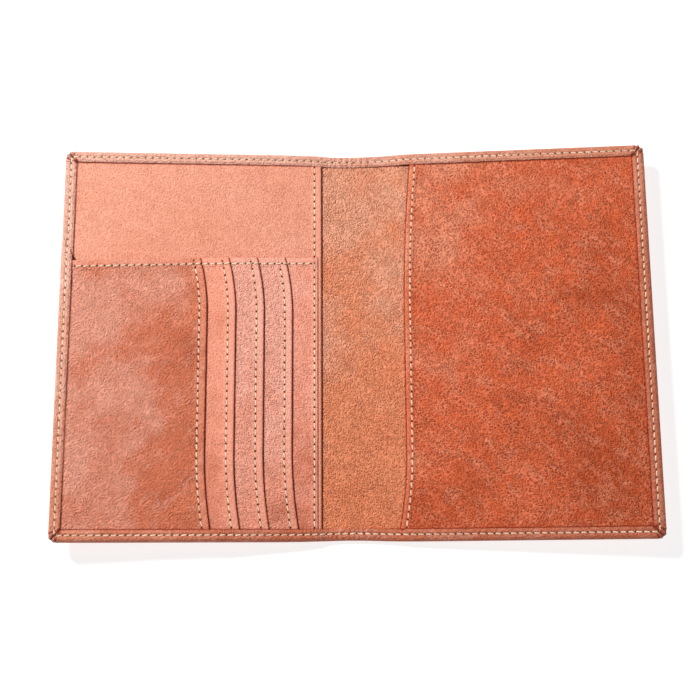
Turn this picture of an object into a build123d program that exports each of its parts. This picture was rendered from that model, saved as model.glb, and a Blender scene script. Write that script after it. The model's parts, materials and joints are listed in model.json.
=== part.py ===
from build123d import *
import os

# Passport holder wallet, lying open with its inside up, in millimetres. +X runs across the open
# wallet, +Y towards the top edge of its covers and +Z up. The origin is the centre of the spine's
# underside, which lies on the table. Each cover turns about the crease beside the spine, and at
# rest it stands up a little from flat. Everything on a cover is drawn in that cover's own flat
# plane, where x is the distance from the spine's centre and z the height above the underside.

# Whole wallet
COVER_W = 108.0  # spine centre to fore edge
HEIGHT = 145.0
CORNER_R = 3.0
REST_LIFT = 4.4  # degrees that each cover stands up from flat
HINGE_X = 8.0  # spine centre to crease
HINGE_Z = 1.2  # height of the line that a cover turns about
SPINE_GAP = 0.15  # crease to the spine's pieces
MOVING_GAP = 0.3  # least distance kept between spine and covers
FOLD_HALF = 4.0  # the boards stop this far from a crease, so that the leather can bend there

# Sheet thicknesses
OUTER_T = 0.9
BOARD_T = 0.4
LINING_T = 0.4
PANEL_T = 0.5
FABRIC_T = 0.1
POCKET_GAP = 0.1
LAYER_GAP = 0.05

# Turned edge: the outer leather goes up round the layers and lies on them as a lip
RIM_W = 4.3
WALL_T = 1.0
LIP_T = 0.7

# Stitching
THREAD_W = 0.6
THREAD_T = 0.25
RIM_SEAM = 2.4  # outer edge to stitching
CARD_SEAM = 2.7  # card panel edge to stitching
CARD_TOP_SEAM = 2.4
PASSPORT_SEAM = 2.0
SEAM_END = 0.5  # clear space between two lines of stitching

# Left cover: slip pocket, and four card slots that open towards the spine
SLIP_EDGE = -12.4
SLIP_SEAM = -15.0
BACKING_EDGE = -13.7
CARD_TOP_Y = 32.1  # top edge of the card slots, where it meets the backing's edge
CARD_TOP_SLOPE = 0.0266
FRONT_EDGE = -54.4
SLOT_PITCH = 10.4
SLOTS = (1, 2, 3, 4)
STRIP_W = 21.5  # leather part of a card strip; a thin fabric carries it on to the rim
RAMP_Y = 32.5  # where the lip starts down from the card slots to the slip pocket
RAMP_LEN = 4.0

# Right cover: passport pocket
PASSPORT_EDGE = 18.4
PASSPORT_RAMP = 12.0

# Opening edges are straight in the middle and curve aside towards both ends
WAIST_TOP = 10.0
WAIST_BOTTOM = -40.0
CARD_FLARES = (-2.8, 3.1)  # at the top and at the bottom
PASSPORT_FLARES = (3.0, -3.4)

BOARD_TOP = OUTER_T + BOARD_T
LINING_TOP = BOARD_TOP + LINING_T
POCKET_LOW = LINING_TOP + POCKET_GAP
POCKET_TOP = POCKET_LOW + PANEL_T
BACKING_LOW = POCKET_TOP + POCKET_GAP
BACKING_TOP = BACKING_LOW + PANEL_T
HEAP_RISES = (0, LIP_T, LIP_T + THREAD_T)  # top of the layers, of the lip and of its stitching
RIM_BOTTOM_Y = -HEIGHT / 2 + RIM_W
SPINE_HALF = HINGE_X - SPINE_GAP
COVER_START = HINGE_X + LINING_TOP + LIP_T + THREAD_T - HINGE_Z + MOVING_GAP
LAYER_FAR = COVER_W - WALL_T
LAYER_H = HEIGHT - 2 * WALL_T
TALL = 10.0


def cover_plane(side):
    """The flat plane of one cover (side -1 left, 1 right), turned up about its crease."""
    lift = -side * REST_LIFT
    along = Vector(1, 0, 0).rotate(Axis.Y, lift)
    up = Vector(0, 0, 1).rotate(Axis.Y, lift)
    crease = Vector(side * HINGE_X, 0, HINGE_Z)
    return Plane(crease - along * (side * HINGE_X) - up * HINGE_Z, x_dir=along, z_dir=up)


LEFT = cover_plane(-1)
RIGHT = cover_plane(1)


def side_view(plane):
    """The plane of a cover's side profiles: x along the cover, y up through its layers."""
    return Plane(plane.origin, x_dir=plane.x_dir, z_dir=-plane.y_dir)


def end_view(plane):
    """The plane of profiles seen along the cover: x towards its top edge, y up."""
    return Plane(plane.origin, x_dir=plane.y_dir, z_dir=plane.x_dir)


def height_at(line, x):
    """Height of a line of (x, z) points at x, straight between its points."""
    for (x0, z0), (x1, z1) in zip(line, line[1:]):
        if x0 <= x <= x1:
            return z0 + (z1 - z0) * (x - x0) / (x1 - x0)
    return line[-1][1]


def profile_solid(plane, points, mode=Mode.ADD):
    """A closed side profile carried over the full height of the cover."""
    with BuildSketch(side_view(plane)) as profile:
        with BuildLine():
            Polyline(*points, close=True)
        make_face()
    extrude(profile.sketch, amount=HEIGHT, both=True, mode=mode)


def bent_sheet(plane, line, thickness):
    """A sheet of even thickness that lies on a line of (x, z) points."""
    profile_solid(plane, line + [(x, z + thickness) for x, z in reversed(line)])


def sheet_face(plane, start, far, width_y, corner):
    """Face of a layer from the crease side to the fore edge, with its two far corners rounded."""
    with BuildSketch(plane) as face:
        with Locations(((start + far) / 2, 0)):
            Rectangle(abs(far - start), width_y)
        fillet(face.vertices().group_by(Axis.X)[-1 if far > start else 0], corner)
    return face.sketch


def flat_layer(plane, start, far, low, thickness):
    """A flat sheet that ends under the turned edge."""
    face = sheet_face(plane.offset(low), start, far, LAYER_H, CORNER_R - WALL_T)
    extrude(face, amount=thickness)


def cut_to_frame(plane, side, outer_inset, inner_inset):
    """Keep the band along a cover's three outer edges, between two distances from the edge."""
    with BuildSketch(plane) as frame:
        start = side * COVER_START
        width = COVER_W - outer_inset - COVER_START
        with Locations((start + side * width / 2, 0)):
            Rectangle(width, HEIGHT - 2 * outer_inset)
        far_corners = frame.vertices().group_by(Axis.X)[-1 if side > 0 else 0]
        fillet(far_corners, max(CORNER_R - outer_inset, THREAD_W))
        with Locations((side * (COVER_W - inner_inset) / 2, 0)):
            Rectangle(COVER_W - inner_inset, HEIGHT - 2 * inner_inset, mode=Mode.SUBTRACT)
    extrude(frame.sketch, amount=TALL, mode=Mode.INTERSECT)


def waist_line(mid, flares, ends):
    """An opening edge: straight in the middle, with an arc to each end."""
    Line((mid, WAIST_TOP), (mid, WAIST_BOTTOM))
    TangentArc((mid, WAIST_TOP), (mid + flares[0], ends[0]), tangent=(0, 1))
    TangentArc((mid, WAIST_BOTTOM), (mid + flares[1], ends[1]), tangent=(0, -1))


def waist_panel(plane, mid, flares, far, tops):
    """Cut a pocket panel to its plan: tops are the heights of its two upper corners."""
    low = -LAYER_H / 2
    with BuildSketch(plane) as plan:
        with BuildLine():
            waist_line(mid, flares, (tops[0], low))
            Polyline((mid + flares[0], tops[0]), (far, tops[1]), (far, low), (mid + flares[1], low))
        make_face()
    extrude(plan.sketch, amount=TALL, mode=Mode.INTERSECT)


def waist_seam(plane, mid, flares, top):
    """Cut a line of stitching to its plan, beside an opening edge."""
    low = RIM_BOTTOM_Y + SEAM_END
    with BuildSketch(plane) as plan:
        with BuildLine():
            for x in (mid - THREAD_W / 2, mid + THREAD_W / 2):
                waist_line(x, flares, (top, low))
            for end, flare in ((top, flares[0]), (low, flares[1])):
                Line((mid + flare - THREAD_W / 2, end), (mid + flare + THREAD_W / 2, end))
        make_face()
    extrude(plan.sketch, amount=TALL, mode=Mode.INTERSECT)


def card_top(x):
    """The sloping top edge of the card slots."""
    return CARD_TOP_Y + (x - BACKING_EDGE) * CARD_TOP_SLOPE


def card_lines():
    """Undersides of the four card panels, each bent down over the hidden edge of the next.

    Slot 4 is the lowest. A panel starts at its own hidden edge, above the fabrics under it, and
    then follows the panel below it, one panel's thickness higher.
    """
    lines = {}
    line = []
    for slot in reversed(SLOTS):
        hidden = slot_edge(slot) - STRIP_W
        line = [(hidden, slot_level(slot))] + [(x, z + PANEL_T + LAYER_GAP) for x, z in line]
        lines[slot] = line
    lines[1] = [(-LAYER_FAR, slot_level(1))] + lines[1]
    return {slot: line + [(SLIP_SEAM, line[-1][1])] for slot, line in lines.items()}


def slot_edge(slot):
    """Middle of a card slot's opening edge."""
    return FRONT_EDGE + (slot - 1) * SLOT_PITCH


def slot_level(slot):
    """Height at which a card strip starts, on the fabrics of the slots under it."""
    return BACKING_TOP + LAYER_GAP + (SLOTS[-1] - slot) * (FABRIC_T + LAYER_GAP)


CARD_LINES = card_lines()
FRONT_END = FRONT_EDGE + CARD_FLARES[1]
FRONT_LINE = [(x, z + PANEL_T) for x, z in CARD_LINES[1] if x < FRONT_END]
CARD_HEAP = (
    [(-COVER_W, FRONT_LINE[0][1])]
    + FRONT_LINE
    + [(FRONT_END, height_at(CARD_LINES[1], FRONT_END) + PANEL_T)]
    + [(slot_edge(slot) + CARD_FLARES[1], CARD_LINES[slot][-1][1] + PANEL_T) for slot in SLOTS[1:]]
    + [(BACKING_EDGE, BACKING_TOP), (SLIP_EDGE, POCKET_TOP)]
)
SLIP_HEAP = [
    (-COVER_W, POCKET_TOP),
    (SLIP_EDGE, POCKET_TOP),
    (SLIP_EDGE + LIP_T, LINING_TOP),
    (-COVER_START, LINING_TOP),
]
PASSPORT_HEAP = [
    (COVER_START, LINING_TOP),
    (PASSPORT_RAMP, LINING_TOP),
    (PASSPORT_EDGE + PASSPORT_FLARES[1], POCKET_TOP),
    (COVER_W, POCKET_TOP),
]


def heap_profile(plane, line, raised, mode=Mode.ADD):
    """Solid under a line of layer tops, raised by a height."""
    top = [(x, z + raised) for x, z in line]
    profile_solid(plane, [(line[0][0], 0)] + top + [(line[-1][0], 0)], mode)


def left_heap(raised):
    """All of the left cover's layers as one solid, with its top raised by a height."""
    peak = max(z for x, z in CARD_HEAP) + raised
    with BuildPart() as heap:
        heap_profile(LEFT, CARD_HEAP, raised)
        with BuildSketch(end_view(LEFT)):
            with BuildLine():
                Polyline(
                    (-HEIGHT, 0),
                    (-HEIGHT, peak),
                    (RAMP_Y, peak),
                    (RAMP_Y + RAMP_LEN, POCKET_TOP + raised),
                    (RAMP_Y + RAMP_LEN, 0),
                    close=True,
                )
            make_face()
        extrude(amount=2 * COVER_W, both=True, mode=Mode.INTERSECT)
        heap_profile(LEFT, SLIP_HEAP, raised)
    return heap.part


def right_heap(raised):
    """All of the right cover's layers as one solid, with its top raised by a height."""
    with BuildPart() as heap:
        heap_profile(RIGHT, PASSPORT_HEAP, raised)
    return heap.part


def turned_cover(plane, side, heaps, space):
    """Outer leather of one cover: its back, and its edge turned up and over the layers."""
    add(heaps[LIP_T])
    cut_to_frame(plane, side, 0, RIM_W)
    back = sheet_face(plane, side * COVER_START, side * COVER_W, HEIGHT, CORNER_R)
    extrude(back, amount=OUTER_T)
    add(space, mode=Mode.SUBTRACT)


def space_in_rim(plane, side, heaps):
    """The space that the layers take up inside a cover's turned edge."""
    with BuildPart() as space:
        add(heaps[0])
        start = side * COVER_START
        face = sheet_face(plane.offset(OUTER_T), start, side * LAYER_FAR, LAYER_H, CORNER_R - WALL_T)
        extrude(face, amount=TALL, mode=Mode.INTERSECT)
    return space.part


def rim_thread(plane, side, heaps):
    """Stitching along the middle of a cover's turned edge."""
    add(heaps[LIP_T + THREAD_T])
    add(heaps[LIP_T], mode=Mode.SUBTRACT)
    cut_to_frame(plane, side, RIM_SEAM - THREAD_W / 2, RIM_SEAM + THREAD_W / 2)


def finish(builder, name):
    """Label a piece and write it to its own file."""
    builder.part.label = name
    export_step(builder.part, f"parts/{name}.step")


# --- spine -------------------------------------------------------------------------------------

with BuildPart() as outer_cover_spine:
    with BuildSketch(end_view(Plane.XY).offset(-SPINE_HALF)):
        Rectangle(HEIGHT, OUTER_T, align=(Align.CENTER, Align.MIN))
        for side in (-1, 1):
            turn = (Align.MAX if side > 0 else Align.MIN, Align.MIN)
            with Locations((side * HEIGHT / 2, 0)):
                Rectangle(WALL_T, LINING_TOP + LIP_T, align=turn)
            with Locations((side * HEIGHT / 2, LINING_TOP)):
                Rectangle(RIM_W, LIP_T, align=turn)
    extrude(amount=2 * SPINE_HALF)
finish(outer_cover_spine, "outer_cover_spine")

with BuildPart() as stiffener_spine:
    with BuildSketch(Plane.XY.offset(OUTER_T)):
        Rectangle(2 * (HINGE_X - FOLD_HALF), LAYER_H)
    extrude(amount=BOARD_T)
finish(stiffener_spine, "stiffener_spine")

with BuildPart() as lining_spine:
    with BuildSketch(Plane.XY.offset(BOARD_TOP)):
        Rectangle(2 * SPINE_HALF, LAYER_H)
    extrude(amount=LINING_T)
finish(lining_spine, "lining_spine")

with BuildPart() as rim_stitching_spine:
    with BuildSketch(Plane.XY.offset(LINING_TOP + LIP_T)):
        with GridLocations(0, HEIGHT - 2 * RIM_SEAM, 1, 2):
            Rectangle(2 * SPINE_HALF, THREAD_W)
    extrude(amount=THREAD_T)
finish(rim_stitching_spine, "rim_stitching_spine")

# --- left cover --------------------------------------------------------------------------------

left_heaps = {raised: left_heap(raised) for raised in HEAP_RISES}
left_space = space_in_rim(LEFT, -1, left_heaps)

with BuildPart() as outer_cover_left:
    turned_cover(LEFT, -1, left_heaps, left_space)
finish(outer_cover_left, "outer_cover_left")

with BuildPart() as stiffener_left:
    flat_layer(LEFT, -HINGE_X - FOLD_HALF, -LAYER_FAR, OUTER_T, BOARD_T)
finish(stiffener_left, "stiffener_left")

with BuildPart() as lining_left:
    flat_layer(LEFT, -COVER_START, -LAYER_FAR, BOARD_TOP, LINING_T)
finish(lining_left, "lining_left")

with BuildPart() as slip_pocket_panel:
    flat_layer(LEFT, SLIP_EDGE, -LAYER_FAR, POCKET_LOW, PANEL_T)
finish(slip_pocket_panel, "slip_pocket_panel")

with BuildPart() as card_slot_backing:
    flat_layer(LEFT, BACKING_EDGE, -LAYER_FAR, BACKING_LOW, PANEL_T)
    with BuildSketch(LEFT):
        with BuildLine():
            Polyline(
                (BACKING_EDGE, -HEIGHT / 2),
                (BACKING_EDGE, card_top(BACKING_EDGE)),
                (-COVER_W, card_top(-COVER_W)),
                (-COVER_W, -HEIGHT / 2),
                close=True,
            )
        make_face()
    extrude(amount=TALL, mode=Mode.INTERSECT)
finish(card_slot_backing, "card_slot_backing")

for slot in SLOTS:
    edge = slot_edge(slot)
    hidden = -LAYER_FAR if slot == 1 else edge - STRIP_W
    top_corner = edge + CARD_FLARES[0]
    with BuildPart() as card_panel:
        bent_sheet(LEFT, CARD_LINES[slot], PANEL_T)
        waist_panel(LEFT, edge, CARD_FLARES, hidden, (card_top(top_corner), card_top(hidden)))
        layer_face = sheet_face(LEFT, SLIP_EDGE, -LAYER_FAR, LAYER_H, CORNER_R - WALL_T)
        extrude(layer_face, amount=TALL, mode=Mode.INTERSECT)
    finish(card_panel, "card_front_panel" if slot == 1 else f"card_strip_{slot}")

    seam = edge - CARD_SEAM
    with BuildPart() as card_stitching:
        bent_sheet(LEFT, [(x, z + PANEL_T) for x, z in CARD_LINES[slot]], THREAD_T)
        waist_seam(LEFT, seam, CARD_FLARES, card_top(seam) - CARD_TOP_SEAM - THREAD_W - SEAM_END)
    finish(card_stitching, f"card_edge_stitching_{slot}")

for slot in SLOTS[1:]:
    with BuildPart() as card_fabric:
        start = slot_edge(slot) - STRIP_W - LAYER_GAP
        flat_layer(LEFT, start, -LAYER_FAR, slot_level(slot), FABRIC_T)
        with BuildSketch(LEFT):
            with Locations((-COVER_W, card_top(-COVER_W))):
                Rectangle(COVER_W, HEIGHT, align=(Align.MIN, Align.MAX))
        extrude(amount=TALL, mode=Mode.INTERSECT)
    finish(card_fabric, f"card_pocket_fabric_{slot}")

with BuildPart() as card_top_stitching:
    heap_profile(LEFT, CARD_HEAP, THREAD_T)
    heap_profile(LEFT, CARD_HEAP, 0, Mode.SUBTRACT)
    with BuildSketch(LEFT):
        with BuildLine():
            ends = (-COVER_W + RIM_W + SEAM_END, SLIP_SEAM - SEAM_END)
            low = [(x, card_top(x) - CARD_TOP_SEAM - THREAD_W / 2) for x in ends]
            Polyline(*low, *[(x, y + THREAD_W) for x, y in reversed(low)], close=True)
        make_face()
    extrude(amount=TALL, mode=Mode.INTERSECT)
finish(card_top_stitching, "card_top_stitching")

with BuildPart() as slip_edge_stitching:
    step_y = card_top(SLIP_SEAM) + SEAM_END
    rim_y = -RIM_BOTTOM_Y - SEAM_END
    with BuildSketch(end_view(LEFT).offset(SLIP_SEAM - THREAD_W / 2)):
        with BuildLine():
            Polyline(
                (-rim_y, BACKING_TOP),
                (step_y, BACKING_TOP),
                (step_y, POCKET_TOP),
                (rim_y, POCKET_TOP),
                (rim_y, POCKET_TOP + THREAD_T),
                (step_y + THREAD_W, POCKET_TOP + THREAD_T),
                (step_y + THREAD_W, BACKING_TOP + THREAD_T),
                (-rim_y, BACKING_TOP + THREAD_T),
                close=True,
            )
        make_face()
    extrude(amount=THREAD_W)
finish(slip_edge_stitching, "slip_edge_stitching")

with BuildPart() as rim_stitching_left:
    rim_thread(LEFT, -1, left_heaps)
finish(rim_stitching_left, "rim_stitching_left")

# --- right cover -------------------------------------------------------------------------------

right_heaps = {raised: right_heap(raised) for raised in HEAP_RISES}
right_space = space_in_rim(RIGHT, 1, right_heaps)

with BuildPart() as outer_cover_right:
    turned_cover(RIGHT, 1, right_heaps, right_space)
finish(outer_cover_right, "outer_cover_right")

with BuildPart() as stiffener_right:
    flat_layer(RIGHT, HINGE_X + FOLD_HALF, LAYER_FAR, OUTER_T, BOARD_T)
finish(stiffener_right, "stiffener_right")

with BuildPart() as lining_right:
    flat_layer(RIGHT, COVER_START, LAYER_FAR, BOARD_TOP, LINING_T)
finish(lining_right, "lining_right")

with BuildPart() as passport_pocket_panel:
    flat_layer(RIGHT, PASSPORT_RAMP, LAYER_FAR, POCKET_LOW, PANEL_T)
    waist_panel(RIGHT, PASSPORT_EDGE, PASSPORT_FLARES, COVER_W, (LAYER_H / 2, LAYER_H / 2))
finish(passport_pocket_panel, "passport_pocket_panel")

with BuildPart() as passport_edge_stitching:
    bent_sheet(RIGHT, [(PASSPORT_RAMP, POCKET_TOP), (COVER_W, POCKET_TOP)], THREAD_T)
    seam = PASSPORT_EDGE + PASSPORT_SEAM
    waist_seam(RIGHT, seam, PASSPORT_FLARES, -RIM_BOTTOM_Y - SEAM_END)
finish(passport_edge_stitching, "passport_edge_stitching")

with BuildPart() as rim_stitching_right:
    rim_thread(RIGHT, 1, right_heaps)
finish(rim_stitching_right, "rim_stitching_right")
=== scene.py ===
import json
import math
from functools import partial

import bmesh
import bpy
import numpy as np
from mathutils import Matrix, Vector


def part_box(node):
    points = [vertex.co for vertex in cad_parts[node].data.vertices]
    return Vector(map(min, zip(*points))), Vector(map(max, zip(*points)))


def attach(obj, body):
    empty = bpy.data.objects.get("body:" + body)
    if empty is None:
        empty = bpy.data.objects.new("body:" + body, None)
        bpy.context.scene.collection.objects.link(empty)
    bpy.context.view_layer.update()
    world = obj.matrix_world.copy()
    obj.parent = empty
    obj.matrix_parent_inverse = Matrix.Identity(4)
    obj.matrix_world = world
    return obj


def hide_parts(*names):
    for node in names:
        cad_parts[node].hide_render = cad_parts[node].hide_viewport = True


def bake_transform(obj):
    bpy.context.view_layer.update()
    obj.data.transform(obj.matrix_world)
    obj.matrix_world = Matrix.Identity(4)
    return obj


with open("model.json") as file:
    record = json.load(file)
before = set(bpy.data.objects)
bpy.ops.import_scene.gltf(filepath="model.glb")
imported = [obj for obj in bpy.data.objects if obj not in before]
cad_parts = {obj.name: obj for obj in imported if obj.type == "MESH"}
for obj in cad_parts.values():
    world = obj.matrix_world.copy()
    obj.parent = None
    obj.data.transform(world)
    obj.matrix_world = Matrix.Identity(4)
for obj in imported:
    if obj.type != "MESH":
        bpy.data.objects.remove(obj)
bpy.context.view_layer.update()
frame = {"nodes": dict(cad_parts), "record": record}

# An open leather passport wallet. Every length below is in millimetres in the flat wallet: x runs
# from the spine's centre, y towards the covers' top edge and h up from the underside. laid_open()
# turns such points into the wallet's resting place, in metres.
MM = 0.001

# --- measures read from the frame

JOINTS = {joint["name"]: joint for joint in frame["record"]["behaviour"]["joints"]}
CREASE_X = JOINTS["right_crease"]["pos_m"][0] / MM
CREASE_H = JOINTS["right_crease"]["pos_m"][2] / MM
LIFT = math.radians(-JOINTS["right_crease"]["range_deg"][0])


def flat_x(x, height):
    """Distance from the spine's centre, along the cover, of a resting point at x metres."""
    along = abs(x) / MM - CREASE_X + (height - CREASE_H) * math.sin(LIFT)
    return CREASE_X + along / math.cos(LIFT)


HALF_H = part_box("outer_cover_spine")[1][1] / MM
COVER_W = flat_x(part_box("outer_cover_right")[1][0], 0)

# --- leather, layers and hems

OUTER_T = 0.9
LINING_LOW = 1.3
LINING_TOP = 1.7
PANEL_T = 0.5
FABRIC_T = 0.1
GAP = 0.05
POCKET_LOW = LINING_TOP + 2 * GAP
POCKET_TOP = POCKET_LOW + PANEL_T
BACKING_LOW = POCKET_TOP + 2 * GAP
BACKING_TOP = BACKING_LOW + PANEL_T
LAYER_INSET = 1.0  # the layers stop this far inside the outer edge

RIM_W = 4.3
LIP_T = 0.75
CORNER_R = 3.0
RIM_SEAM = 2.4
CARD_SEAM = 2.7
TOP_SEAM = 2.4
SLIP_SEAM = 2.6
BACKING_SEAM = 1.3
PASSPORT_SEAM = 2.0
PITCH = 2.7  # length of one stitch

SLOTS = (1, 2, 3, 4)
STRIP_W = 21.5
FABRIC_TOP_Y = 29.0
WAIST_TOP = 10.0
WAIST_BOTTOM = -40.0
CARD_FLARES = (-2.8, 3.1)
PASSPORT_FLARES = (3.0, -3.4)
CARD_TOP_SLOPE = 0.0266
FOLD_FROM, FOLD_TO = 4.0, 12.0  # the leather bends between these distances from the centre

CARD_NODES = {1: "card_front_panel", 2: "card_strip_2", 3: "card_strip_3", 4: "card_strip_4"}
LAYER_FAR = COVER_W - LAYER_INSET
LAYER_END = HALF_H - LAYER_INSET
SLIP_EDGE = -flat_x(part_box("slip_pocket_panel")[1][0], POCKET_TOP)
BACKING_EDGE = -flat_x(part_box("card_slot_backing")[1][0], BACKING_TOP)
CARD_TOP_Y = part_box("card_slot_backing")[1][1] / MM
PASSPORT_EDGE = flat_x(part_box("passport_pocket_panel")[0][0], POCKET_TOP) - PASSPORT_FLARES[1]
SLOT_EDGES = {
    slot: -flat_x(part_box(node)[1][0], BACKING_TOP) - CARD_FLARES[1]
    for slot, node in CARD_NODES.items()
}


# --- small sums


def smooth(x, low, high):
    """0 below low, 1 above high, and an S-curve between."""
    t = np.clip((x - low) / (high - low), 0, 1)
    return t * t * (3 - 2 * t)


def bump(x, centre, width):
    """Bell curve of height 1."""
    return np.exp(-(((x - centre) / width) ** 2))


def round_off(distance, radius):
    """Quarter circle: 0 at an edge, 1 from one radius inside it."""
    return np.sqrt(1 - (1 - np.clip(distance / radius, 0, 1)) ** 2)


def noise(x, y, cell, seed):
    """Random heights from -1 to 1 on a lattice of the given cell, eased between its points."""
    table = np.random.default_rng(seed).uniform(-1, 1, (64, 64))
    px, py = np.asarray(x) / cell, np.asarray(y) / cell
    ix, iy = np.floor(px).astype(int), np.floor(py).astype(int)
    fx, fy = px - ix, py - iy
    fx, fy = fx * fx * (3 - 2 * fx), fy * fy * (3 - 2 * fy)
    near = table[ix % 64, iy % 64] * (1 - fx) + table[(ix + 1) % 64, iy % 64] * fx
    far = table[ix % 64, (iy + 1) % 64] * (1 - fx) + table[(ix + 1) % 64, (iy + 1) % 64] * fx
    return near * (1 - fy) + far * fy


def wrinkles(x, y, seed, depth=1.0, way=1):
    """Slow swells plus fine creases along a diagonal (way 1 up, way -1 down), as leather pulls."""
    along, across = (x + way * y) / math.sqrt(2), (x - way * y) / math.sqrt(2)
    swell = 0.10 * noise(x, y, 21, seed) + 0.05 * noise(x, y, 9, seed + 1)
    bent = across + 2.5 * noise(x, y, 14, seed + 2)
    crease = 1 - np.abs(noise(along / 4, bent, 3.4, seed + 3))
    where = smooth(noise(x, y, 26, seed + 4), -0.2, 0.7)
    return depth * (swell + 0.09 * where * crease**3)


def eased(points, blur):
    """Height as a function of x: straight between (x, height) points, averaged over a width."""
    step = 0.25
    x = np.arange(-COVER_W - 5, COVER_W + 5, step)
    height = np.interp(x, *np.array(sorted(points)).T)
    width = int(blur / step) | 1
    padded = np.pad(height, width // 2, mode="edge")
    height = np.convolve(padded, np.ones(width) / width, mode="valid")
    return lambda at: np.interp(at, x, height)


def spaced(*stops):
    """Positions from stop to stop: each stop is (position, spacing up to the next one)."""
    runs = [
        np.linspace(a, b, max(1, round(abs(b - a) / step)), endpoint=False)
        for (a, step), (b, _) in zip(stops, stops[1:])
    ]
    return np.concatenate(runs + [[stops[-1][0]]])


# --- heights of the layers


def card_top(x):
    """The sloping top edge of the card slots."""
    return CARD_TOP_Y + (x - BACKING_EDGE) * CARD_TOP_SLOPE


def slot_level(slot):
    """Height at which a card strip starts, on the fabrics of the slots under it."""
    return BACKING_TOP + GAP + (SLOTS[-1] - slot) * (FABRIC_T + GAP)


def card_points():
    """Undersides of the card panels: each starts low at its hidden edge, then climbs the next."""
    points, line = {}, []
    for slot in reversed(SLOTS):
        hidden = SLOT_EDGES[slot] - STRIP_W
        line = [(hidden, slot_level(slot))] + [(x, h + PANEL_T + GAP) for x, h in line]
        points[slot] = line
    return points


CARD_POINTS = card_points()
CARD_LINES = {slot: eased(points, 3.0) for slot, points in CARD_POINTS.items()}


def stack_points():
    """Tops of the left cover's layers along its bottom rim."""
    ends = {slot: SLOT_EDGES[slot] + CARD_FLARES[1] for slot in SLOTS}
    front = [(x, h + PANEL_T) for x, h in CARD_POINTS[1] if x < ends[1]]
    steps = [(ends[slot] + 1, CARD_POINTS[slot][-1][1] + PANEL_T) for slot in SLOTS]
    return front + steps + [(BACKING_EDGE, BACKING_TOP), (SLIP_EDGE + 1, LINING_TOP)]


CARD_STACK = eased(stack_points(), 4.0)
SLIP_STACK = eased([(SLIP_EDGE - 1, POCKET_TOP), (SLIP_EDGE + 2, LINING_TOP)], 2.0)
PASSPORT_STACK = eased([(PASSPORT_EDGE - 4, LINING_TOP), (PASSPORT_EDGE, POCKET_TOP)], 3.0)


def stack_height(x, y, ramp=1.3):
    """Top of all layers at a point of either cover, rising to the cards over the ramp's length."""
    cards = smooth(-y, -CARD_TOP_Y - ramp + 0.3, -CARD_TOP_Y + 0.6)
    left = SLIP_STACK(x) + (CARD_STACK(x) - SLIP_STACK(x)) * cards
    return np.where(x < 0, left, PASSPORT_STACK(x))


# --- meshes


def laid_open(points):
    """Resting place in metres: each cover is turned up about its crease, and the leather beside
    the crease takes a share of the turn that grows smoothly with the distance from the centre."""
    x, y, h = np.moveaxis(np.asarray(points, float), -1, 0)
    side = np.where(x < 0, -1.0, 1.0)
    turn = LIFT * smooth(np.abs(x), FOLD_FROM, FOLD_TO)
    along, up = np.abs(x) - CREASE_X, h - CREASE_H
    out = np.stack(
        [
            side * (CREASE_X + along * np.cos(turn) - up * np.sin(turn)),
            y,
            CREASE_H + along * np.sin(turn) + up * np.cos(turn),
        ],
        axis=-1,
    )
    return out * MM


def quads(index, flip=False):
    """Faces between neighbouring rows and columns of a grid of vertex numbers."""
    a, b = index[:-1, :-1].ravel(), index[:-1, 1:].ravel()
    c, d = index[1:, 1:].ravel(), index[1:, :-1].ravel()
    faces = np.stack([a, d, c, b] if flip else [a, b, c, d], axis=1)
    return faces.tolist()


def build(name, points, faces, cut, seam=None, edge=None):
    """Mesh object from flat points, with its flat pattern as UV. Its attributes are the nearest
    seam (stitch phase, distance, share of hem) and the distance to an edge where shade is painted."""
    mesh = bpy.data.meshes.new(name)
    mesh.from_pydata(laid_open(points).tolist(), [], faces)
    pattern = mesh.uv_layers.new(name="Cut")
    corner = np.empty(len(mesh.loops), dtype=np.int32)
    mesh.loops.foreach_get("vertex_index", corner)
    pattern.data.foreach_set("uv", (np.asarray(cut) / 100)[corner].ravel())
    if seam is not None:
        stored = mesh.attributes.new("Seam", "FLOAT_VECTOR", "POINT")
        stored.data.foreach_set("vector", np.asarray(seam, np.float32).ravel())
        stored = mesh.attributes.new("Edge", "FLOAT", "POINT")
        stored.data.foreach_set("value", np.asarray(edge, np.float32).ravel())
    shape = bmesh.new()
    shape.from_mesh(mesh)
    bmesh.ops.remove_doubles(shape, verts=shape.verts, dist=0.002 * MM)
    bmesh.ops.recalc_face_normals(shape, faces=shape.faces)
    shape.to_mesh(mesh)
    shape.free()
    mesh.shade_smooth()
    mesh.set_sharp_from_angle(angle=math.radians(75))
    piece = bpy.data.objects.new(name, mesh)
    bpy.context.scene.collection.objects.link(piece)
    return piece


PLAIN_SEAM = (0.0, 9.0, 0.0)


def sheet_piece(name, x, y, low, thickness, seam=PLAIN_SEAM, edge=9.0, crown=0, fade=1):
    """Closed sheet over a grid of x and y: its top is low + thickness + crown, and both faces run
    together where fade falls to 0 at a rounded edge."""
    middle = low + thickness / 2 + 0 * x
    top = middle + fade * (thickness / 2 + crown)
    bottom = middle - fade * thickness / 2
    rows, columns = x.shape
    index = np.arange(rows * columns).reshape(rows, columns)
    under = index + rows * columns
    faces = quads(index) + quads(under, flip=True)
    for side in np.s_[0], np.s_[-1], np.s_[:, 0], np.s_[:, -1]:
        faces += quads(np.stack([index[side], under[side]]))
    points = np.concatenate([np.stack([x, y, h], axis=-1).reshape(-1, 3) for h in (top, bottom)])
    upper = np.stack([part + 0 * x for part in seam], axis=-1).reshape(-1, 3)
    marks = np.concatenate([upper, np.broadcast_to(PLAIN_SEAM, upper.shape)])
    # Painted shade: the top face darkens by its distance to a shaded crevice, the underside wholly.
    crevice_shade = np.concatenate([(edge + 0 * x).ravel(), np.zeros(x.size)])
    return build(name, points, faces, points[:, :2], marks, crevice_shade)


# --- pocket panels

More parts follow.
